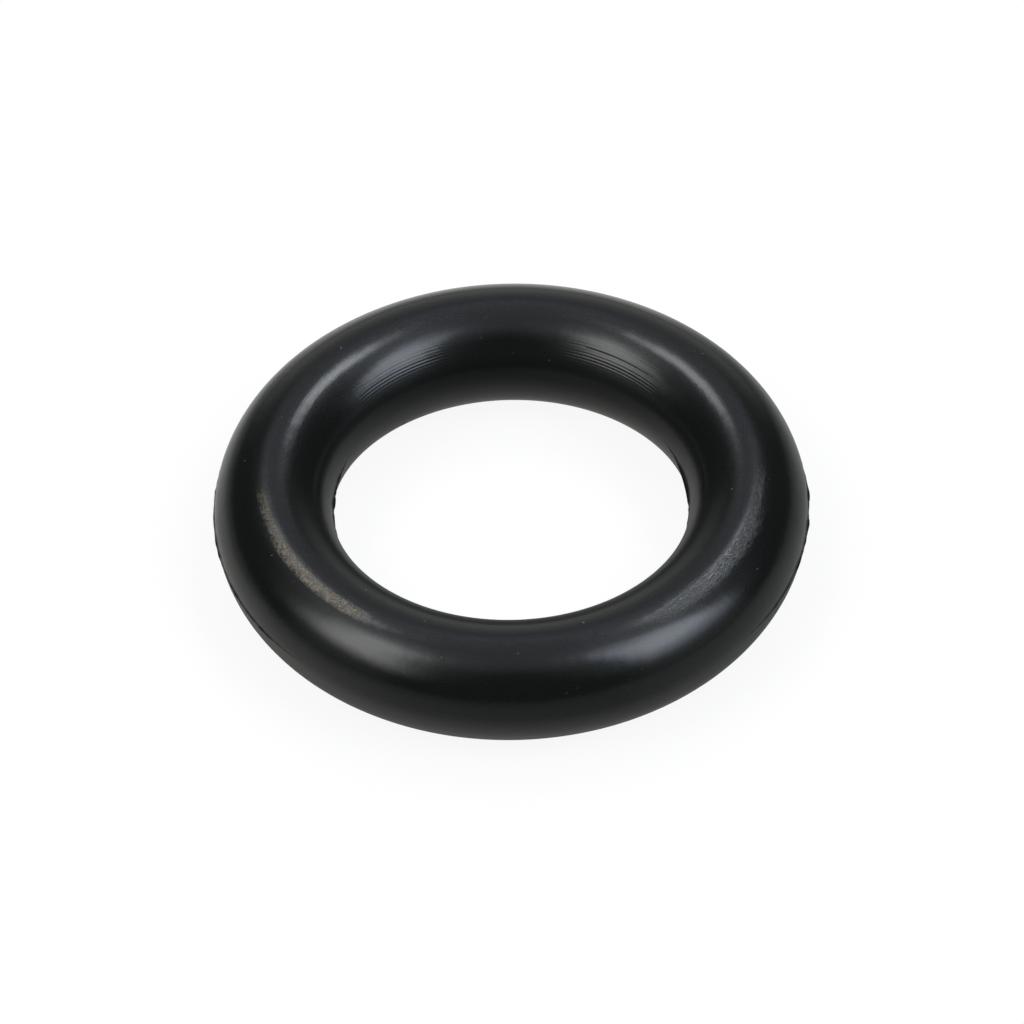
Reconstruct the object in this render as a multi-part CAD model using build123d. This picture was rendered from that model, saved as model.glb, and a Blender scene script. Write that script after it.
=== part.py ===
from build123d import *
from math import asin, cos, degrees, isclose, radians, sin
import os

# A moulded rubber sealing ring with a round section, lying flat.
# Units are millimetres and +Z is up. The ring's axis is Z, and its parting plane,
# where the two halves of the mould met, is Z = 0. The origin is the ring's centre.

# Driving dimensions of the ring
INNER_DIAMETER = 9.0
SECTION_DIAMETER = 3.0

# The flash: the thin rib that squeezed out between the mould halves,
# once round the outside of the ring and once round the inside
FLASH_HEIGHT = 0.045
FLASH_THICKNESS = 0.05
FLASH_ROOT = 0.12
ROOT_FILLET = 0.04
TAG_BITE = 0.2

# Torn tags, where the flash was pulled off by hand and stands out further.
# Each has the angle of its middle, the angle that it spans and its reach past the flash.
OUTER_TAGS = (
    (2.0, 4.0, 0.022),
    (354.0, 3.0, 0.016),
    (186.0, 9.0, 0.020),
    (212.0, 2.0, 0.018),
)
INNER_TAGS = (
    (10.0, 24.0, 0.038),
    (176.0, 6.0, 0.024),
    (125.0, 2.5, 0.022),
)

# Sizes that follow from them
SECTION_RADIUS = SECTION_DIAMETER / 2
CENTRE_LINE_RADIUS = INNER_DIAMETER / 2 + SECTION_RADIUS
INNER_LAND_RADIUS = CENTRE_LINE_RADIUS - SECTION_RADIUS - FLASH_HEIGHT
OUTER_LAND_RADIUS = CENTRE_LINE_RADIUS + SECTION_RADIUS + FLASH_HEIGHT
ROOT_ANGLE = degrees(asin(FLASH_ROOT / 2 / SECTION_RADIUS))


def rib(side):
    """Corners of one flash rib, from its upper root round to its lower root.

    side is 1 for the outer rib and -1 for the inner one.
    """
    root = CENTRE_LINE_RADIUS + side * SECTION_RADIUS * cos(radians(ROOT_ANGLE))
    land = CENTRE_LINE_RADIUS + side * (SECTION_RADIUS + FLASH_HEIGHT)
    return [
        (root, FLASH_ROOT / 2),
        (land, FLASH_THICKNESS / 2),
        (land, -FLASH_THICKNESS / 2),
        (root, -FLASH_ROOT / 2),
    ]


def section():
    """The round section with its two ribs, in the XZ plane."""
    centre = (CENTRE_LINE_RADIUS, 0)
    sweep = 180 - 2 * ROOT_ANGLE
    with BuildSketch(Plane.XZ) as sketch:
        with BuildLine():
            CenterArc(centre, SECTION_RADIUS, ROOT_ANGLE, sweep)
            CenterArc(centre, SECTION_RADIUS, 180 + ROOT_ANGLE, sweep)
            Polyline(*rib(1))
            Polyline(*rib(-1))
        make_face()
        fillet(root_corners(sketch.vertices()), ROOT_FILLET)
    return sketch.sketch


def root_corners(corners):
    """The four corners where the ribs leave the round section, by their height in the sketch."""
    return [corner for corner in corners if isclose(abs(corner.Y), FLASH_ROOT / 2, abs_tol=1e-4)]


def polar(radius, angle):
    """The point at this radius and angle about Z."""
    return (radius * cos(radians(angle)), radius * sin(radians(angle)))


def tag(land_radius, side, middle, spread, reach):
    """A torn tag: a thin tongue with a curved tip, rooted in the rubber behind the land."""
    start = middle - spread / 2
    end = middle + spread / 2
    root_radius = land_radius - side * (FLASH_HEIGHT + TAG_BITE)
    with BuildSketch(Plane.XY.offset(-FLASH_THICKNESS / 2)) as outline:
        with BuildLine():
            tip = ThreePointArc(
                polar(land_radius, start),
                polar(land_radius + side * reach, middle),
                polar(land_radius, end),
            )
            root = ThreePointArc(
                polar(root_radius, start),
                polar(root_radius, middle),
                polar(root_radius, end),
            )
            Line(tip @ 0, root @ 0)
            Line(tip @ 1, root @ 1)
        make_face()
    return extrude(outline.sketch, FLASH_THICKNESS)


def o_ring():
    """The whole ring: the section turned once round Z, with its torn tags."""
    ring = revolve(section(), Axis.Z, 360)
    for middle, spread, reach in OUTER_TAGS:
        ring += tag(OUTER_LAND_RADIUS, 1, middle, spread, reach)
    for middle, spread, reach in INNER_TAGS:
        ring += tag(INNER_LAND_RADIUS, -1, middle, spread, reach)
    return ring


os.makedirs("parts", exist_ok=True)
export_step(o_ring(), "parts/o_ring.step")
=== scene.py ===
"""Models and finishes a moulded rubber o-ring, and sets a plain stage round it.

The file is laid out as a Blender add-on and is run as a script. Units are metres. The ring's
axis is Z, its centre is the origin, and the parting plane of its mould is Z = 0.
"""

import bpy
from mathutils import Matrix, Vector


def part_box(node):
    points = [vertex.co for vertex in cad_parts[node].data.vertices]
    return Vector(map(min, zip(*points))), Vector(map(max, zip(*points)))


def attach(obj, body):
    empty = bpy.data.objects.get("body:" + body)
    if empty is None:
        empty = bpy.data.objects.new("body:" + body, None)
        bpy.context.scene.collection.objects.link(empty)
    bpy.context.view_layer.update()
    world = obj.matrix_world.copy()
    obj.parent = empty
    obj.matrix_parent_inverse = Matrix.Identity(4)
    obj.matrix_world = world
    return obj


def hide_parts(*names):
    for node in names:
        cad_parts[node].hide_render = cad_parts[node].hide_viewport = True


bl_info = {
    "name": "O-Ring Workshop",
    "version": (1, 0, 0),
    "blender": (4, 5, 0),
    "location": "3D View > Sidebar > O-Ring",
    "description": "Models a moulded rubber o-ring with its flash, finishes it and lights it",
    "category": "Object",
}

from math import atan2, cos, degrees, hypot, pi, radians, sin, tan

import bpy
from mathutils import Matrix, Vector, noise

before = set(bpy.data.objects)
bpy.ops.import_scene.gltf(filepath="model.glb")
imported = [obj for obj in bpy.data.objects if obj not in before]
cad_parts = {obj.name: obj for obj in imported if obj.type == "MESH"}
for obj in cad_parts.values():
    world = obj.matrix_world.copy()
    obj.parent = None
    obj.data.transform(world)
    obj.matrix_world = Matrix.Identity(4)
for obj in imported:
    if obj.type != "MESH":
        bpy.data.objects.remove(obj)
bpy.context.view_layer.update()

MM = 0.001
RING_NODE = "o_ring"
RING_LOW, RING_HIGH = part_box(RING_NODE)
FLASH_HEIGHT = 0.045 * MM
SECTION_RADIUS = (RING_HIGH.z - RING_LOW.z) / 2
CENTRE_RADIUS = (RING_HIGH.y - RING_LOW.y) / 2 - FLASH_HEIGHT - SECTION_RADIUS

# Faces that meet at less than this angle are shaded as one skin
SMOOTH_ANGLE = radians(50)

# Torn tags of flash: the angle of each one's middle, the angle that it spans in degrees,
# and how far its tip stands past the flash in millimetres
OUTER_TAGS = ((2.0, 4.0, 0.018), (354.0, 3.0, 0.013), (186.0, 9.0, 0.0))
INNER_TAGS = ((9.0, 20.0, 0.024), (176.0, 6.0, 0.020))

# Stretches where the flash was cut away: the angle of the middle and half the angle that each
# spans in degrees
OUTER_TRIMS = ((272.0, 60.0), (90.0, 66.0))
INNER_TRIMS = ((92.0, 74.0), (250.0, 60.0))
TRIM_RUN_OUT = 14.0

# What is left of the flash, as shares of its full height: the mean, the most, and the least that
# is still worked on. Then the scale and the weight of each unevenness, and the reach at which a
# torn tag stands on full flash.
FLASH_MEAN = 0.70
FLASH_MOST = 0.92
FLASH_LEAST = 0.05
FLASH_UNEVEN = ((34.0, 0.30), (9.0, 0.30))
TAG_FULL_REACH = 0.01 * MM

# A crumb that stands on the inner wall below the flash: its angle round the ring and round the
# section, its radius and its height in millimetres
CRUMB = (125.0, 209.0, 0.06, 0.03)

# Points round the section, as angles in degrees. Away from the flash and the grooves, only
# every fifth point is kept.
FINE_STEP = 0.75
COARSE_EVERY = 5
FLASH_REACH = 4.5

# The rib of the flash: how many points to each side of the parting line are moved, and by what
# share of the flash's height. The moves add up.
FLASH_PROFILE = ((1, 0.70), (2, 0.22), (3, 0.08))

# Turned grooves of the mould on the inner shoulder, as angles round the section. Each stretch has
# the azimuth of its middle, half the angle that it spans, the place of its first groove, and the
# depth of each groove, from the crown inwards, as a share of the whole depth.
GROOVE_PITCH = 4 * FINE_STEP
GROOVE_STRETCHES = (
    (56.0, 20.0, 122.25, (0.25, 0.1, 0.7, 1.3, 0.3, 1.1, 1.5, 1.0, 0.4, 0.25)),
    (125.0, 20.0, 126.75, (0.15, 0.5, 0.7, 0.3, 1.0, 1.1, 0.6, 0.2)),
)
GROOVES_MIDDLE = 135.75
GROOVES_HALF_WIDTH = 14.25
GROOVE_RUN_OUT = 9.0

# How a groove's depth varies along it: the mean share, the weight of the unevenness, its scale,
# and how far the pattern moves on from one groove to the next
GROOVE_MEAN = 0.95
GROOVE_UNEVEN = 0.4
GROOVE_UNEVEN_SCALE = 4.0
GROOVE_SHIFT = 0.7

# Patches of wear on the rubber. The frost and the scuff lie on softbox highlights, and their pale
# colour is partly a painted highlight. Each has a window round the ring and a band round the
# section, with the angle of the middle, half the width and the width of the soft edge in degrees,
# and then its strength. The streaks of the moulded skin have only a band.
FROST_AND_HIGHLIGHT_PATCHES = (
    ((218, 12, 7), (77.4, 4.8, 2.8), 1.0),
    ((203, 11, 9), (78.0, 2.8, 3.2), 0.6),
)
# The scuff's pale colour partly paints the back-right softbox's highlight
SCUFF_AND_SHEEN_PATCHES = (
    ((332, 20, 9), (78.0, 2.8, 3.2), 0.8),
    ((324, 14, 12), (72.5, 4, 6), 0.6),
)
DRAG_PATCH = ((163, 16, 10), (103, 5, 3), 3.0)
STREAKED_BAND = (118, 34, 14)

# Dots on the rubber: how many to a millimetre, their radius in cells and the shift of the pattern
SPECKS = (1.7, 0.052, 0.0)
PITS = (2.2, 0.046, 7.0)

# What each mark does to the rubber: its share of its own colour, what it adds to the roughness,
# and its height in millimetres. The colour shares of the frost and the scuff are partly painted
# highlight.
FROST_AND_HIGHLIGHT_MARK = (0.42, 0.07, 0.0026)
SCUFF_AND_SHEEN_MARK = (0.10, 0.10, 0.0028)
SPECK_MARK = (0.35, 0.20, 0.0040)

# The relief of the rest of the skin, in millimetres
GRAIN_HEIGHT = 0.0006
WAVE_HEIGHT = 0.006
PIT_DEPTH = 0.003

# How far the roughness varies: rougher on the drawn skin, and cloudy all over. Then the weight
# of the mottle in how dull the skin is.
DRAWN_SKIN_ROUGHNESS = 0.12
CLOUD_ROUGHNESS = 0.04
MOTTLE_SHARE = 0.4

# Softboxes: azimuth and elevation of the middle, half the width and half the height to where the
# light has fallen by half, the softness of the sides, of the foot and of the head, how far the
# middle moves round for each degree up, the brightness and the colour. Angles are as seen from
# the ring, in degrees.
SOFTBOXES = (
    ("lamp_right", (338.5, 49), (20.5, 19.0), (5, 15, 12), 0.0, 4.1, (0.89, 0.97, 1.10)),
    ("lamp_left", (201, 48.6), (18.5, 18.6), (14, 12, 7), -0.3, 4.15, (0.99, 1.01, 0.99)),
    ("lamp_back_right", (58.6, 56.2), (10.4, 7.6), (2.5, 1.5, 3), -1.0, 7.2, (0.94, 1.00, 1.05)),
    ("lamp_back_left", (121.0, 56.6), (9.4, 8.2), (2.5, 1.5, 3), 1.1, 5.6, (0.97, 1.01, 1.02)),
)

# Glows of the room: azimuth and elevation of the middle, the radius of the even part and of the
# soft edge in degrees, and the colour
ROOM_GLOWS = (
    (90, 5, 5, 35, (0.55, 0.56, 0.55)),
    (90, 42, 6, 20, (0.20, 0.205, 0.25)),
    (90, 80, 14, 48, (0.37, 0.38, 0.45)),
    (270, 5, 10, 50, (0.03, 0.03, 0.03)),
    (339, 47, 3, 15, (0.80, 0.86, 0.95)),
    (20, 66, 4, 17, (0.45, 0.47, 0.50)),
    (168, 65, 4, 14, (0.65, 0.65, 0.65)),
    (339, 48, 18, 38, (0.15, 0.16, 0.18)),
    (201, 48, 18, 38, (0.18, 0.18, 0.18)),
    (336, 8, 8, 30, (0.26, 0.28, 0.28)),
    (206, 8, 6, 26, (0.20, 0.20, 0.20)),
)

# Painted reflections: pools of white painted on the floor, which only the ring's reflections see.
# Distances are from the middle of the rubber, in millimetres, and those below 0 are in the hole.
# Each lift has the distances between which it rises and between which it falls, its mean share
# of white, and what it gains towards the north and towards the east.
PAINTED_FLOOR_POOLS = (
    ((1.0, 2.4), (22, 4), 0.22, 0.10, -0.13),
    ((-0.2, -1.0), (-6, -2), 0.17, 0.03, -0.02),
    ((-0.2, -1.0), (-2.9, -1.6), 0.05, 0.0, 0.0),
)

# The painted pool of white at the front, which is nearest to the camera: its rise, its fall and
# its share of white
PAINTED_FRONT_POOL = ((0.4, 1.3), (4.0, 1.6), 0.28)

# Painted glows of the floor, which only the ring's reflections see: azimuth of the middle, half
# the width to where the light has fallen by half, the softness of the sides, in degrees, the
# distances between which it rises and between which it falls, and the share of white
PAINTED_FLOOR_GLOWS = (
    (337, 24, 20, (1.0, 3.0), (400, 300), 0.18),
    (208, 20, 18, (1.0, 3.0), (400, 300), 0.13),
    (93, 24, 8, (4.0, 10.0), (400, 300), 0.55),
    (112, 42, 18, (1.0, 2.4), (12.0, 5.0), 0.22),
    (48, 24, 12, (1.0, 2.4), (12.0, 5.0), 0.15),
    (72, 36, 16, (-0.2, -1.0), (-2.9, -1.6), 0.13),
    (218, 26, 14, (-0.2, -1.0), (-5.5, -2.5), 0.20),
    (322, 14, 12, (-0.2, -1.0), (-5.5, -2.5), 0.06),
)

# Painted shade: in the hole, the floor that the ring mirrors is dimmed to this share from the
# first distance to the second
PAINTED_HOLE_SHADE = 0.62
PAINTED_HOLE_SHADE_REACH = (-2.0, -4.5)

# Where the floor that the camera sees turns plain white, outside the ring and in the hole
WHITE_OUTSIDE = (1.9, 3.6)
WHITE_INSIDE = (-2.2, -3.6)

# The rim of the floor: how much wider and how much higher each step is
FLOOR_RIM = ((1.06, 0.004), (1.05, 0.012), (1.03, 0.030))

# The point that the camera looks at, and the width of its sensor in millimetres
CAMERA_TARGET = Vector((0.018, -0.137, 0)) * MM
SENSOR_WIDTH = 36


# ---------------------------------------------------------------------------
# Shader expressions
# ---------------------------------------------------------------------------


class Value:
    """A shader socket that can stand in a Python expression."""

    def __init__(self, shader, socket):
        self.shader = shader
        self.socket = socket

    def math(self, operation, *others):
        settings = {"operation": operation}
        inputs = dict(enumerate((self, *others)))
        return self.shader.node("ShaderNodeMath", settings, inputs)

    def __add__(self, other):
        return self.math("ADD", other)

    __radd__ = __add__

    def __sub__(self, other):
        return self.math("SUBTRACT", other)

    def __rsub__(self, other):
        return (self * -1) + other

    def __mul__(self, other):
        return self.math("MULTIPLY", other)

    __rmul__ = __mul__

    def __truediv__(self, other):
        return self.math("DIVIDE", other)

    def __pow__(self, other):
        return self.math("POWER", other)

    def absolute(self):
        return self.math("ABSOLUTE")

    def or_more(self, other):
        return self.math("MAXIMUM", other)

    def angle_from(self, other):
        """The angle of the direction whose rise is this value and whose run is the other one."""
        return self.math("ARCTAN2", other)

    def output(self, name):
        """Another output of the node that this value comes from."""
        return Value(self.shader, self.socket.node.outputs[name])

    def ramp(self, low, high):
        """0 below low, 1 above high and a smooth step between them; high may be the lower one."""
        settings = {"interpolation_type": "SMOOTHSTEP"}
        inputs = {"Value": self, "From Min": low, "From Max": high}
        return self.shader.node("ShaderNodeMapRange", settings, inputs)


class Shader:
    """A node tree that is filled by expressions."""

    def __init__(self, tree):
        self.tree = tree
        tree.nodes.clear()

    def node(self, kind, settings=None, inputs=None, output=0):
        """Adds a node, sets it and fills its sockets with values or links. Returns an output."""
        made = self.tree.nodes.new(kind)
        for name, value in (settings or {}).items():
            setattr(made, name, value)
        for key, value in (inputs or {}).items():
            if isinstance(value, Value):
                self.tree.links.new(value.socket, made.inputs[key])
            else:
                made.inputs[key].default_value = value
        return Value(self, made.outputs[output]) if made.outputs else made

    def split(self, vector):
        """The three parts of a vector."""
        parts = self.node("ShaderNodeSeparateXYZ", None, {0: vector})
        return [parts.output(name) for name in "XYZ"]

    def join(self, x, y, z):
        return self.node("ShaderNodeCombineXYZ", None, {0: x, 1: y, 2: z})

    def scaled(self, vector, factor):
        settings = {"operation": "SCALE"}
        return self.node("ShaderNodeVectorMath", settings, {"Vector": vector, "Scale": factor})

    def noise(self, vector, scale=1.0, detail=2.0, roughness=0.5, output=0):
        """A cloudy pattern; its outputs are a value and a colour."""
        inputs = {"Vector": vector, "Scale": scale, "Detail": detail, "Roughness": roughness}
        return self.node("ShaderNodeTexNoise", {"noise_dimensions": "3D"}, inputs, output)

    def vector_math(self, operation, *vectors, output=0):
        inputs = dict(enumerate(vectors))
        return self.node("ShaderNodeVectorMath", {"operation": operation}, inputs, output)

    def mix_colour(self, factor, first, second, blend="MIX"):
        settings = {"data_type": "RGBA", "blend_type": blend}
        return self.node("ShaderNodeMix", settings, {0: factor, 6: first, 7: second}, output=2)

    def mix_shader(self, factor, first, second):
        return self.node("ShaderNodeMixShader", None, {0: factor, 1: first, 2: second})

    def facing(self, east, north, azimuth):
        """The cosine of the angle between a level direction and an azimuth in degrees."""
        return east * cos(radians(azimuth)) + north * sin(radians(azimuth))


def new_shader(name):
    """A fresh material and the shader that fills it."""
    material = bpy.data.materials.new(name)
    material.use_nodes = True
    return material, Shader(material.node_tree)


def colour(values):
    """A colour as a socket takes it, with an alpha of 1."""
    return (*values[:3], 1.0)


# ---------------------------------------------------------------------------
# Settings
# ---------------------------------------------------------------------------


class RingSettings(bpy.types.PropertyGroup):
    """Sizes of the ring and looks of its rubber."""

    section_radius: bpy.props.FloatProperty(
        name="Section radius",
        description="Radius of the round section",
        default=SECTION_RADIUS,
        unit="LENGTH",
    )
    centre_radius: bpy.props.FloatProperty(
        name="Centre line radius",
        description="Radius of the circle that the middle of the section follows",
        default=CENTRE_RADIUS,
        unit="LENGTH",
    )
    flash_height: bpy.props.FloatProperty(
        name="Flash height",
        description="How far the flash stands out at the parting line",
        default=FLASH_HEIGHT,
        unit="LENGTH",
    )
    groove_depth: bpy.props.FloatProperty(
        name="Groove depth",
        description="Depth of the turned grooves that the mould left",
        default=0.0075 * MM,
        unit="LENGTH",
    )
    columns: bpy.props.IntProperty(
        name="Columns",
        description="Faces round the ring",
        default=630,
    )
    rubber: bpy.props.FloatVectorProperty(
        name="Rubber",
        description="Colour of the rubber",
        default=(0.0045, 0.0057, 0.0050),
        subtype="COLOR",
        size=3,
    )
    # Colour of the bloom, which is partly a painted warm highlight where the back-left softbox
    # reflects
    bloom_and_painted_highlight: bpy.props.FloatVectorProperty(
        name="Bloom",
        description="Colour of the dry, frosted patches",
        default=(0.32, 0.275, 0.13),
        subtype="COLOR",
        size=3,
    )
    # Partly a painted warm highlight, as the bloom is
    pink_bloom_and_painted_highlight: bpy.props.FloatVectorProperty(
        name="Pink bloom",
        description="Colour of the pinkish grains in the frosted patches",
        default=(0.28, 0.21, 0.14),
        subtype="COLOR",
        size=3,
    )
    dust: bpy.props.FloatVectorProperty(
        name="Dust",
        description="Colour of the dust specks",
        default=(0.29, 0.30, 0.31),
        subtype="COLOR",
        size=3,
    )
    gloss_roughness: bpy.props.FloatProperty(
        name="Roughness",
        description="Roughness of the moulded skin",
        default=0.188,
        subtype="FACTOR",
    )
    dull_roughness: bpy.props.FloatProperty(
        name="Dull roughness",
        description="Roughness of the dull share of the skin",
        default=0.30,
        subtype="FACTOR",
    )
    dull_share: bpy.props.FloatProperty(
        name="Dull share",
        description="How much of the skin is dull",
        default=0.14,
        subtype="FACTOR",
    )


class StageSettings(bpy.types.PropertyGroup):
    """The floor, the lamps and the camera."""

    floor_radius: bpy.props.FloatProperty(
        name="Floor radius",
        description="Radius of the flat part of the floor",
        default=0.62,
        unit="LENGTH",
    )
    floor_colour: bpy.props.FloatVectorProperty(
        name="Floor",
        description="Colour of the floor, as the camera sees it",
        default=(0.92, 0.92, 0.92),
        subtype="COLOR",
        size=3,
    )
    # Painted shade: a darker copy of the floor's colour, which only reflections and bounced light
    # see
    painted_darker_floor: bpy.props.FloatVectorProperty(
        name="Floor shade",
        description="Colour of the floor, as the ring mirrors it",
        default=(0.25, 0.257, 0.235),
        subtype="COLOR",
        size=3,
    )
    floor_white: bpy.props.FloatProperty(
        name="Floor white",
        description="How far the floor that the camera sees is lifted to white",
        default=0.91,
        subtype="FACTOR",
    )
    # Painted reflections: scales the painted pools of white on the floor, which only the ring's
    # reflections see
    painted_pool_level: bpy.props.FloatProperty(
        name="Mirrored white",
        description="Scales how far the floor is lifted to white in reflections",
        default=1.0,
    )
    # Colour of the painted pools of white in the ring's reflections
    painted_pool_tint: bpy.props.FloatVectorProperty(
        name="Mirrored tint",
        description="Colour that the floor is lifted to in reflections",
        default=(1.0, 1.0, 0.965),
        size=3,
        subtype="COLOR",
    )
    room: bpy.props.FloatProperty(
        name="Room",
        description="Brightness of the dim room away from its glows",
        default=0.05,
    )
    lamp_distance: bpy.props.FloatProperty(
        name="Lamp distance",
        description="Distance of each softbox from the ring",
        default=0.6,
        unit="LENGTH",
    )
    lamp_level: bpy.props.FloatProperty(
        name="Lamp level",
        description="Scales the brightness of every softbox",
        default=1.0,
    )
    camera_elevation: bpy.props.FloatProperty(
        name="Camera elevation",
        description="Angle of the view above the floor",
        default=radians(45.37),
        subtype="ANGLE",
    )
    camera_roll: bpy.props.FloatProperty(
        name="Camera roll",
        description="Turn of the camera about its own view",
        default=radians(-1.19),
        subtype="ANGLE",
    )
    camera_distance: bpy.props.FloatProperty(
        name="Camera distance",
        description="Distance from the camera to the ring's centre",
        default=0.2603,
        unit="LENGTH",
    )
    camera_lens: bpy.props.FloatProperty(
        name="Lens",
        description="Focal length of the camera",
        default=362.3,
        subtype="DISTANCE_CAMERA",
    )


# ---------------------------------------------------------------------------
# Modelling helpers
# ---------------------------------------------------------------------------


def deselect_all():
    if bpy.context.object and bpy.context.object.mode != "OBJECT":
        bpy.ops.object.mode_set(mode="OBJECT")
    bpy.ops.object.select_all(action="DESELECT")


def apply_place(piece):
    """Puts the object's place, turn and scale into its mesh."""
    deselect_all()
    piece.select_set(True)
    bpy.context.view_layer.objects.active = piece
    bpy.ops.object.transform_apply(location=True, rotation=True, scale=True)


def select_where(mesh, test):
    """Selects the vertices of a mesh that pass a test, and nothing else. Object mode."""
    for face in mesh.polygons:
        face.select = False
    for edge in mesh.edges:
        edge.select = False
    for vertex in mesh.vertices:
        vertex.select = test(vertex.co)


def edit(piece, kind="VERT"):
    bpy.context.view_layer.objects.active = piece
    bpy.ops.object.mode_set(mode="EDIT")
    bpy.ops.mesh.select_mode(type=kind)


def leave_edit():
    bpy.ops.object.mode_set(mode="OBJECT")


def angle_between(first, second):
    """The angle from one direction to another, in degrees from 0 to 180."""
    return abs((first - second + 180) % 360 - 180)


# ---------------------------------------------------------------------------
# The ring
# ---------------------------------------------------------------------------


class RingModeller:
    """Models the ring: a round section with its parting line, spun once about Z."""

    def __init__(self, settings):
        self.centre = settings.centre_radius
        self.radius = settings.section_radius
        self.flash = settings.flash_height
        self.groove = settings.groove_depth
        self.columns = settings.columns

    def turn_of(self, place):
        """The angle round the section: 0 outside, 90 on top and 180 inside, in degrees."""
        return degrees(atan2(place.z, hypot(place.x, place.y) - self.centre)) % 360

    def side_of(self, place):
        """1 on the outer half of the section and -1 on the inner half."""
        return 1 if hypot(place.x, place.y) > self.centre else -1

    def is_spare(self, index):
        """True for a point of the section that neither the flash nor the grooves need."""
        turn = index * FINE_STEP
        near_flash = min(angle_between(turn, 0), angle_between(turn, 180)) < FLASH_REACH
        near_grooves = angle_between(turn, GROOVES_MIDDLE) < GROOVES_HALF_WIDTH + 2 * FINE_STEP
        return index % COARSE_EVERY > 0 and not near_flash and not near_grooves

    def section(self):
        """The round section as a closed wire, finer at the flash and at the grooves."""
        deselect_all()
        bpy.ops.mesh.primitive_circle_add(
            vertices=round(360 / FINE_STEP),
            radius=self.radius,
            location=(self.centre, 0, 0),
            rotation=(pi / 2, 0, 0),
        )
        ring = bpy.context.object
        ring.name = "moulded_ring"
        ring.data.name = "moulded_ring"
        apply_place(ring)
        select_where(ring.data, lambda co: self.is_spare(round(self.turn_of(co) / FINE_STEP)))
        edit(ring)
        bpy.ops.mesh.dissolve_verts()
        leave_edit()
        return ring

    def raise_flash(self, ring):
        """Moves the points of the parting line out into a rib with a curved root."""
        for points, share in FLASH_PROFILE:
            for side in (1, -1):
                reach = (points + 0.5) * FINE_STEP
                middle = 0 if side > 0 else 180
                select_where(
                    ring.data, lambda co: angle_between(self.turn_of(co), middle) < reach
                )
                edit(ring)
                bpy.ops.transform.translate(value=(side * share * self.flash, 0, 0))
                leave_edit()

    def spin(self, ring):
        """Turns the section once round Z and closes the seam."""
        edit(ring)
        bpy.ops.mesh.select_all(action="SELECT")
        bpy.ops.mesh.spin(steps=self.columns, angle=2 * pi, center=(0, 0, 0), axis=(0, 0, 1))
        bpy.ops.mesh.select_all(action="SELECT")
        bpy.ops.mesh.remove_doubles(threshold=1e-6)
        bpy.ops.mesh.normals_make_consistent(inside=False)
        leave_edit()

    def flash_share(self, side, angle):
        """How much of the flash is left at this angle: torn edges and trimmed stretches."""
        around = Vector((cos(radians(angle)), sin(radians(angle)), 3.0 * side))
        share = FLASH_MEAN
        for scale, weight in FLASH_UNEVEN:
            share += noise.noise(around * scale) * weight
        for middle, half_width in OUTER_TRIMS if side > 0 else INNER_TRIMS:
            share *= 1 - stretch(angle, middle, half_width, TRIM_RUN_OUT)
        return max(0.0, min(FLASH_MOST, share))

    def tag_reach(self, side, angle):
        """How far a torn tag stands past the flash at this angle, in metres."""
        reach = 0.0
        for middle, spread, height in OUTER_TAGS if side > 0 else INNER_TAGS:
            off = angle_between(angle, middle) / (spread / 2)
            if off < 1:
                reach = max(reach, height * MM * (1 - off * off))
        return reach

    def tear_flash(self, ring):
        """Wears the flash down unevenly and pulls its torn tags out."""
        for vertex in ring.data.vertices:
            place = vertex.co
            if abs(place.z) > self.flash * 2:
                continue
            side = self.side_of(place)
            across = hypot(place.x, place.y)
            crest = self.centre + side * (self.radius**2 - place.z**2) ** 0.5
            standing = (across - crest) * side
            if standing < FLASH_LEAST * self.flash:
                continue
            angle = degrees(atan2(place.y, place.x)) % 360
            share = self.flash_share(side, angle)
            reach = self.tag_reach(side, angle)
            share = max(share, min(FLASH_MOST, reach / TAG_FULL_REACH))
            new = crest + side * (standing * share + reach * standing / self.flash)
            place.x *= new / across
            place.y *= new / across

    def groove_depth(self, angle, turn):
        """How deep the grooves are at this place, as a share of the whole depth."""
        deepest = 0.0
        for middle, half_width, first, depths in GROOVE_STRETCHES:
            groove = round((turn - first) / GROOVE_PITCH)
            off = abs(turn - first - groove * GROOVE_PITCH)
            if not 0 <= groove < len(depths) or off > FINE_STEP / 2:
                continue
            around = Vector((cos(radians(angle)), sin(radians(angle)), GROOVE_SHIFT * groove))
            uneven = GROOVE_UNEVEN * noise.noise(around * GROOVE_UNEVEN_SCALE)
            share = depths[groove] * (GROOVE_MEAN + uneven)
            along = stretch(angle, middle, half_width, GROOVE_RUN_OUT)
            deepest = max(deepest, share * along)
        return deepest

    def press_grooves(self, ring):
        """Presses the turned grooves of the mould into the inner shoulder."""
        for vertex in ring.data.vertices:
            place = vertex.co
            turn = self.turn_of(place)
            if angle_between(turn, GROOVES_MIDDLE) > GROOVES_HALF_WIDTH:
                continue
            angle = degrees(atan2(place.y, place.x)) % 360
            depth = self.groove * self.groove_depth(angle, turn)
            across = hypot(place.x, place.y)
            new = across - depth * cos(radians(turn))
            place.z -= depth * sin(radians(turn))
            place.x *= new / across
            place.y *= new / across

    def raise_crumb(self, ring):
        """Draws out the little crumb of rubber on the inner wall."""
        angle, turn, radius, height = CRUMB
        outwards = direction(angle, 0)
        across = self.centre + self.radius * cos(radians(turn))
        middle = outwards * across + Vector((0, 0, self.radius * sin(radians(turn))))
        for vertex in ring.data.vertices:
            off = (vertex.co - middle).length / (radius * MM)
            if off < 1:
                vertex.co -= outwards * height * MM * (1 - off * off)

    def make(self):
        """Models the ring from its section to its last crumb."""
        ring = self.section()
        self.raise_flash(ring)
        self.spin(ring)
        self.tear_flash(ring)
        self.press_grooves(ring)
        self.raise_crumb(ring)
        deselect_all()
        ring.select_set(True)
        bpy.context.view_layer.objects.active = ring
        bpy.ops.object.shade_smooth_by_angle(angle=SMOOTH_ANGLE)
        return ring


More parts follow.
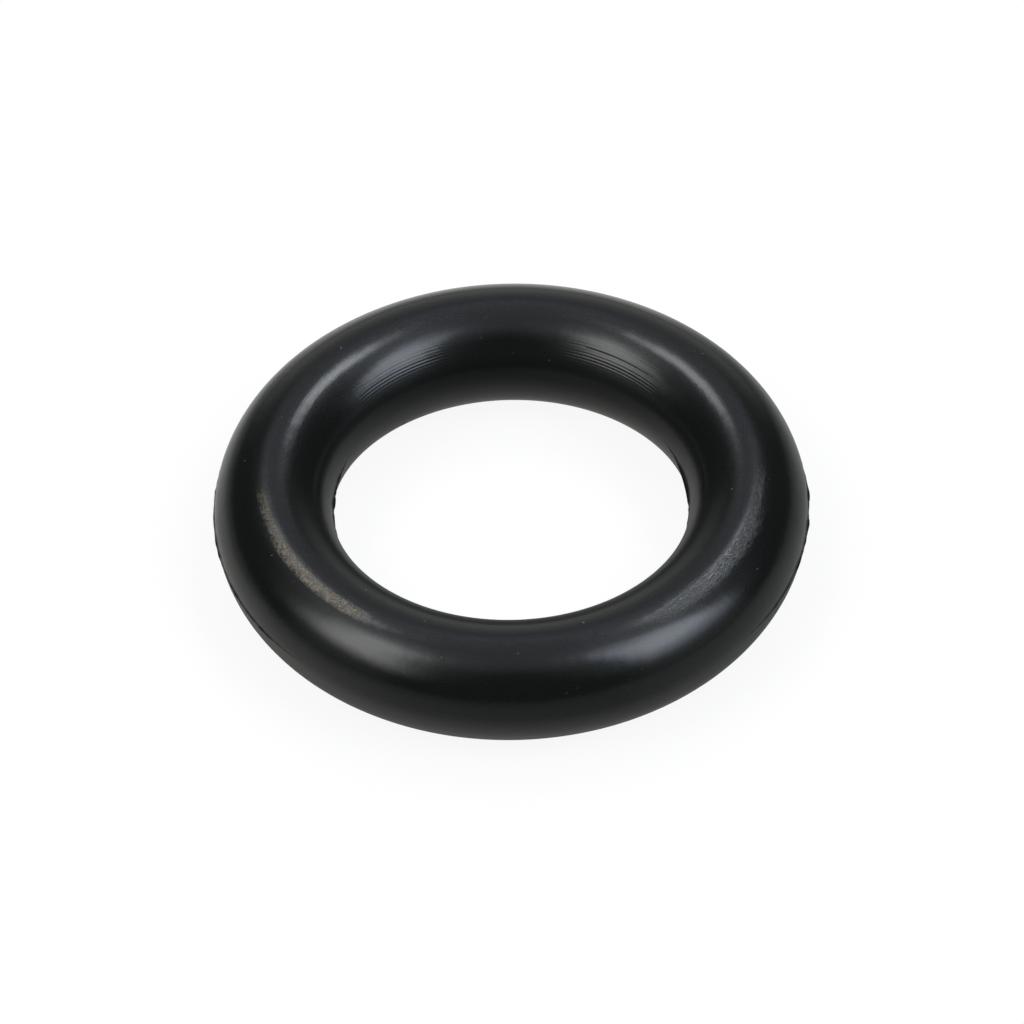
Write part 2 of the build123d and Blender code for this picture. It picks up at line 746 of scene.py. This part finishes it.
def stretch(angle, middle, half_width, run_out):
    """1 over a stretch of the ring, falling smoothly to 0 in the last degrees at its ends."""
    inside = half_width - angle_between(angle, middle)
    share = max(0.0, min(1.0, inside / run_out))
    return share * share * (3 - 2 * share)


# ---------------------------------------------------------------------------
# The rubber
# ---------------------------------------------------------------------------


class RubberFinish:
    """Black moulded rubber: a satin skin with turned mould marks, bloom and a little dust. The
    bloom and a scuff lie on softbox highlights, and their pale colour is partly a painted
    highlight.
    """

    def __init__(self, settings):
        self.settings = settings
        self.material, self.shader = new_shader("black_rubber")

    def place(self):
        """Where the surface is: millimetres, round the ring and round the section."""
        shader = self.shader
        here = shader.node("ShaderNodeTexCoord", None, None, output="Object")
        self.mm = shader.scaled(here, 1 / MM)
        x, y, z = shader.split(self.mm)
        across = (x * x + y * y) ** 0.5
        self.east = x / across
        self.north = y / across
        out = across - self.settings.centre_radius / MM
        self.inwards = out * (-MM / self.settings.section_radius)
        self.turn = z.angle_from(out)

    def window(self, middle, half_width, soft):
        """1 over a stretch of the ring round an azimuth, with soft ends, in degrees."""
        facing = self.shader.facing(self.east, self.north, middle)
        return facing.ramp(cos(radians(half_width + soft)), cos(radians(half_width)))

    def band(self, middle, half_width, soft):
        """1 over a band of the section round an angle, with soft edges, in degrees."""
        off = (self.turn - radians(middle)).absolute()
        return off.ramp(radians(half_width + soft), radians(half_width))

    def patch(self, window, band, strength):
        """A patch of wear, from its window round the ring and its band round the section."""
        return self.window(*window) * self.band(*band) * strength

    def drawn_out(self, along, around, shift=0.0):
        """Coordinates for a pattern that is drawn out along the ring."""
        turn = self.turn * around
        return self.shader.join(self.east * along, self.north * along, turn + shift)

    def grain(self):
        """The fine grain of the moulded skin, and the finer streaks that run round the ring."""
        fine = self.shader.noise(self.mm, scale=16.0, detail=3.0, roughness=0.6)
        streaks = self.shader.noise(self.drawn_out(along=16.0, around=46.0, shift=2.0))
        drag = self.shader.noise(self.drawn_out(along=5.0, around=75.0, shift=3.0))
        streaked = self.band(*STREAKED_BAND) * 1.2 + 0.5
        return fine * 0.5 + streaks * streaked + drag * self.patch(*DRAG_PATCH)

    def dull(self):
        """How dull the skin is: a faint mottle, drawn out along the ring."""
        streaks = self.drawn_out(along=30.0, around=34.0, shift=5.0)
        mottle = self.shader.noise(streaks, detail=3.0, roughness=0.6)
        return (mottle - 0.5) * MOTTLE_SHARE + self.settings.dull_share

    def drawn_skin(self):
        """The rougher skin of the inner wall, which reaches further up at the front."""
        wall = self.inwards.ramp(0.68, 0.90)
        brow = self.inwards.ramp(0.22, 0.44) * self.north.ramp(0.1, -0.3)
        return wall.or_more(brow)

    def frost_and_painted_highlight(self):
        """The dry, frosted stretch of the outer shoulder: grains that stand close together. It
        lies on the back-left softbox's highlight, and its pale beige is partly a painted warm
        highlight.
        """
        grains = self.shader.noise(self.mm, scale=15.0, roughness=0.7).ramp(0.38, 0.60)
        density = self.shader.noise(self.mm, scale=2.2).ramp(0.30, 0.62) * 0.5 + 0.5
        broad, narrow = (self.patch(*patch) for patch in FROST_AND_HIGHLIGHT_PATCHES)
        return grains * density * broad.or_more(narrow)

    def scuff_and_painted_sheen(self):
        """The scuffed stretch of the outer shoulder: short broken streaks. It lies on the
        back-right softbox's highlight, and its pale dust colour partly paints that highlight's
        tail.
        """
        drawn = self.drawn_out(along=34.0, around=52.0, shift=9.0)
        streaks = self.shader.noise(drawn, detail=3.0, roughness=0.65).ramp(0.38, 0.70)
        core, fringe = (self.patch(*patch) for patch in SCUFF_AND_SHEEN_PATCHES)
        return streaks * (core + fringe)

    def dots(self, density, radius, shift):
        """Sparse ragged dots of mixed strength."""
        shader = self.shader
        ragged = shader.noise(self.mm, scale=20.0, detail=0.0, output="Color")
        place = shader.vector_math("MULTIPLY_ADD", ragged, (0.06,) * 3, self.mm)
        place = shader.vector_math("ADD", place, (shift,) * 3)
        cells = shader.node(
            "ShaderNodeTexVoronoi", {"feature": "F1"}, {"Vector": place, "Scale": density}
        )
        strength = shader.split(cells.output("Color"))[0]
        return cells.ramp(radius, radius * 0.5) * (strength * 0.8 + 0.2)

    def make(self):
        """Lays the marks over the plain skin and returns the finished material."""
        shader = self.shader
        look = self.settings
        self.place()
        cloud = shader.noise(self.mm, scale=0.7)
        wave = shader.noise(self.mm, scale=1.4)
        # The bloom's colours, partly a painted warm highlight
        tint = shader.noise(self.mm, scale=5.0).ramp(0.40, 0.60)
        bloom_and_painted_highlight = shader.mix_colour(tint, colour(look.bloom_and_painted_highlight), colour(look.pink_bloom_and_painted_highlight))
        dust = colour(look.dust)

        skin = colour(look.rubber)
        roughness = (cloud - 0.5) * CLOUD_ROUGHNESS + look.gloss_roughness
        relief = self.grain() * GRAIN_HEIGHT + wave * WAVE_HEIGHT
        # The frost and the scuff partly paint the softbox highlights that they lie on; the specks
        # are dust
        for mark, tone, (share, rougher, height) in (
            (self.frost_and_painted_highlight(), bloom_and_painted_highlight, FROST_AND_HIGHLIGHT_MARK),
            (self.scuff_and_painted_sheen(), dust, SCUFF_AND_SHEEN_MARK),
            (self.dots(*SPECKS), dust, SPECK_MARK),
        ):
            skin = shader.mix_colour(mark * share, skin, tone)
            roughness = roughness + mark * rougher
            relief = relief + mark * height
        roughness = roughness + self.drawn_skin() * DRAWN_SKIN_ROUGHNESS
        relief = relief - self.dots(*PITS) * PIT_DEPTH

        bump = shader.node(
            "ShaderNodeBump", None, {"Strength": 1.0, "Distance": MM, "Height": relief}
        )
        glossy, matt = (
            shader.node(
                "ShaderNodeBsdfPrincipled",
                None,
                {"Base Color": skin, "IOR": 1.5, "Normal": bump, "Roughness": rough},
            )
            for rough in (roughness, look.dull_roughness)
        )
        surface = shader.mix_shader(self.dull(), glossy, matt)
        shader.node("ShaderNodeOutputMaterial", None, {"Surface": surface})
        return self.material


class RING_OT_model(bpy.types.Operator):
    """Model the ring with its flash and give it its rubber"""

    bl_idname = "ring.model"
    bl_label = "Model the ring"

    def execute(self, context):
        settings = context.scene.ring_settings
        ring = RingModeller(settings).make()
        ring.data.materials.clear()
        ring.data.materials.append(RubberFinish(settings).make())
        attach(ring, "root")
        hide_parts(RING_NODE)
        return {"FINISHED"}


# ---------------------------------------------------------------------------
# The stage
# ---------------------------------------------------------------------------


def floor_place(shader):
    """A point of the floor: its direction, and its distance from the rubber's middle."""
    here = shader.node("ShaderNodeTexCoord", None, None, output="Object")
    x, y, _ = shader.split(shader.scaled(here, 1 / MM))
    across = (x * x + y * y) ** 0.5
    return x / across, y / across, across - CENTRE_RADIUS / MM


def painted_pool_lift(stage, shader, east, north, off):
    """How far the floor is lifted towards white in the painted pools that only the ring's
    reflections see.
    """
    front = (north * -1).or_more(0)
    rise, fall, share = PAINTED_FRONT_POOL
    lift = off.ramp(*rise) * off.ramp(*fall) * front * front * share
    for rise, fall, share, northwards, eastwards in PAINTED_FLOOR_POOLS:
        uneven = north * northwards + east * eastwards + share
        lift = lift + off.ramp(*rise) * off.ramp(*fall) * uneven
    for azimuth, half_width, soft, rise, fall, share in PAINTED_FLOOR_GLOWS:
        facing = shader.facing(east, north, azimuth)
        side = facing.ramp(cos(radians(half_width + soft)), cos(radians(half_width - soft)))
        lift = lift + side * off.ramp(*rise) * off.ramp(*fall) * share
    return lift * stage.painted_pool_level


def floor_face(shader, pale, glow, share):
    """The floor lit in its own colour, and lifted to a glow by a share: the plain white backdrop
    for the camera, and painted pools of white for the ring's reflections.
    """
    lit = shader.node(
        "ShaderNodeBsdfPrincipled",
        None,
        {"Base Color": pale, "Roughness": 0.9, "Specular IOR Level": 0.0},
    )
    white = shader.node("ShaderNodeEmission", None, {"Color": colour(glow), "Strength": 1.0})
    return shader.mix_shader(share, lit, white)


def floor_material(stage):
    """A pale floor that reads as white and keeps a faint shadow of the ring. In the ring's
    reflections it is a darker copy, with painted shade in the hole and painted pools of white.
    """
    material, shader = new_shader("pale_floor")
    camera = shader.node("ShaderNodeLightPath", None, None, output="Is Camera Ray")
    glancing = camera.output("Is Glossy Ray") + camera.output("Is Transmission Ray")
    east, north, off = floor_place(shader)
    # Painted shade: the floor that the ring mirrors is darker in the hole
    dim = [value * PAINTED_HOLE_SHADE for value in stage.painted_darker_floor]
    floor_with_painted_shade = shader.mix_colour(off.ramp(*PAINTED_HOLE_SHADE_REACH), colour(stage.painted_darker_floor), colour(dim))
    # Painted pools of white on the floor, seen only by glossy and transmission rays
    lift = painted_pool_lift(stage, shader, east, north, off) * glancing
    far = off.ramp(*WHITE_OUTSIDE) + off.ramp(*WHITE_INSIDE)
    white_share = far * (1 - stage.floor_white) + stage.floor_white
    mirrored = floor_face(shader, floor_with_painted_shade, stage.painted_pool_tint, lift)
    seen = floor_face(shader, colour(stage.floor_colour), (1, 1, 1), white_share)
    surface = shader.mix_shader(camera, mirrored, seen)
    shader.node("ShaderNodeOutputMaterial", None, {"Surface": surface})
    return material


def make_floor(stage, height):
    """A round floor with a low curved rim, which hides the far edge in low views."""
    deselect_all()
    bpy.ops.mesh.primitive_circle_add(
        vertices=96, radius=stage.floor_radius, fill_type="NGON", location=(0, 0, height)
    )
    floor = bpy.context.object
    floor.name = "floor"
    apply_place(floor)
    edit(floor, "EDGE")
    for grow, lift in FLOOR_RIM:
        bpy.ops.mesh.select_mode(type="EDGE")
        bpy.ops.mesh.select_all(action="SELECT")
        bpy.ops.mesh.region_to_loop()
        bpy.ops.mesh.extrude_edges_move()
        bpy.ops.transform.resize(value=(grow, grow, 1))
        bpy.ops.transform.translate(value=(0, 0, lift))
    leave_edit()
    floor.data.materials.append(floor_material(stage))


def shape_softbox(lamp, middle, half, soft, lean, tint):
    """Makes the light of a lamp fall off to its sides, its foot and its head."""
    lamp.use_nodes = True
    shader = Shader(lamp.node_tree)
    azimuth, elevation = (radians(value) for value in middle)
    here = shader.node("ShaderNodeNewGeometry", None, None, output="Position")
    x, y, z = shader.split(here)
    ahead = x * cos(azimuth) + y * sin(azimuth)
    sideways = y * cos(azimuth) - x * sin(azimuth)
    up = z.angle_from((x * x + y * y) ** 0.5) - elevation
    across = sideways.angle_from(ahead) - up * lean
    sides = across.absolute().ramp(radians(half[0] + soft[0]), radians(half[0] - soft[0]))
    foot = up.ramp(-radians(half[1] + soft[1]), -radians(half[1] - soft[1]))
    head = up.ramp(radians(half[1] + soft[2]), radians(half[1] - soft[2]))
    glow = shader.node(
        "ShaderNodeEmission", None, {"Color": colour(tint), "Strength": sides * foot * head}
    )
    shader.node("ShaderNodeOutputLight", None, {"Surface": glow})


def make_softbox(stage, name, middle, half, soft, lean, brightness, tint):
    """An area lamp that faces the ring, sized by the angles that it fills as seen from there."""
    towards = direction(*middle)
    side = direction(middle[0] + 90, 0)
    up = towards.cross(side)
    reach = tan(radians(half[0] + soft[0]))
    rise = tan(radians(half[1] + max(soft[1:])))
    lamp = bpy.data.lights.new(name, "AREA")
    lamp.shape = "RECTANGLE"
    lamp.size = 2.2 * stage.lamp_distance * (reach + abs(lean) * rise)
    lamp.size_y = 2 * stage.lamp_distance * rise
    lamp.energy = stage.lamp_level * brightness * pi * lamp.size * lamp.size_y
    shape_softbox(lamp, middle, half, soft, lean, tint)
    box = bpy.data.objects.new(name, lamp)
    box.matrix_world = Matrix.Translation(towards * stage.lamp_distance) @ (
        Matrix((side, up, towards)).transposed().to_4x4()
    )
    box.visible_camera = False
    bpy.context.scene.collection.objects.link(box)


def direction(azimuth, elevation):
    """The unit vector that points to an azimuth and an elevation, in degrees."""
    azimuth, elevation = radians(azimuth), radians(elevation)
    return Vector((cos(elevation) * cos(azimuth), cos(elevation) * sin(azimuth), sin(elevation)))


def make_room(stage):
    """A dim room with a few broad, soft glows."""
    world = bpy.data.worlds.new("room")
    world.use_nodes = True
    bpy.context.scene.world = world
    shader = Shader(world.node_tree)
    towards = shader.node("ShaderNodeTexCoord", None, None, output="Generated")
    light = colour((stage.room,) * 3)
    for azimuth, elevation, even, edge, glow in ROOM_GLOWS:
        middle = direction(azimuth, elevation)
        facing = shader.vector_math("DOT_PRODUCT", towards, middle, output="Value")
        strength = facing.ramp(cos(radians(edge)), cos(radians(even)))
        light = shader.mix_colour(strength, light, colour(glow), blend="ADD")
    camera = shader.node("ShaderNodeLightPath", None, None, output="Is Camera Ray")
    dim = shader.node("ShaderNodeBackground", None, {"Color": light, "Strength": 1.0})
    white = shader.node("ShaderNodeBackground", None, {"Color": colour((1, 1, 1))})
    surface = shader.mix_shader(camera, dim, white)
    shader.node("ShaderNodeOutputWorld", None, {"Surface": surface})


def make_camera(stage):
    """A long lens that looks down at the ring."""
    lens = bpy.data.cameras.new("camera")
    lens.lens = stage.camera_lens
    lens.sensor_width = SENSOR_WIDTH
    lens.clip_start = 0.01
    lens.clip_end = 10
    camera = bpy.data.objects.new("camera", lens)
    back = Vector((0, -cos(stage.camera_elevation), sin(stage.camera_elevation)))
    turn = back.to_track_quat("Z", "Y").to_matrix() @ Matrix.Rotation(stage.camera_roll, 3, "Z")
    camera.matrix_world = (
        Matrix.Translation(CAMERA_TARGET + back * stage.camera_distance) @ turn.to_4x4()
    )
    bpy.context.scene.collection.objects.link(camera)
    bpy.context.scene.camera = camera


class RING_OT_stage(bpy.types.Operator):
    """Set the floor, the softboxes, the dim room and the camera"""

    bl_idname = "ring.stage"
    bl_label = "Set the stage"

    def execute(self, context):
        stage = context.scene.stage_settings
        make_floor(stage, RING_LOW.z)
        for softbox in SOFTBOXES:
            make_softbox(stage, *softbox)
        make_room(stage)
        make_camera(stage)
        context.scene.view_settings.view_transform = "Standard"
        return {"FINISHED"}


class RING_PT_panel(bpy.types.Panel):
    """The sidebar panel with both steps and their settings"""

    bl_label = "O-Ring"
    bl_idname = "RING_PT_panel"
    bl_space_type = "VIEW_3D"
    bl_region_type = "UI"
    bl_category = "O-Ring"

    def draw(self, context):
        for settings, step in (
            (context.scene.ring_settings, RING_OT_model),
            (context.scene.stage_settings, RING_OT_stage),
        ):
            column = self.layout.column()
            for name in settings.__annotations__:
                column.prop(settings, name)
            column.operator(step.bl_idname)


CLASSES = (RingSettings, StageSettings, RING_OT_model, RING_OT_stage, RING_PT_panel)


def register():
    for item in CLASSES:
        bpy.utils.register_class(item)
    bpy.types.Scene.ring_settings = bpy.props.PointerProperty(type=RingSettings)
    bpy.types.Scene.stage_settings = bpy.props.PointerProperty(type=StageSettings)


def unregister():
    del bpy.types.Scene.stage_settings
    del bpy.types.Scene.ring_settings
    for item in reversed(CLASSES):
        bpy.utils.unregister_class(item)


def main():
    register()
    bpy.ops.ring.model()
    bpy.ops.ring.stage()


if __name__ == "__main__":
    main()
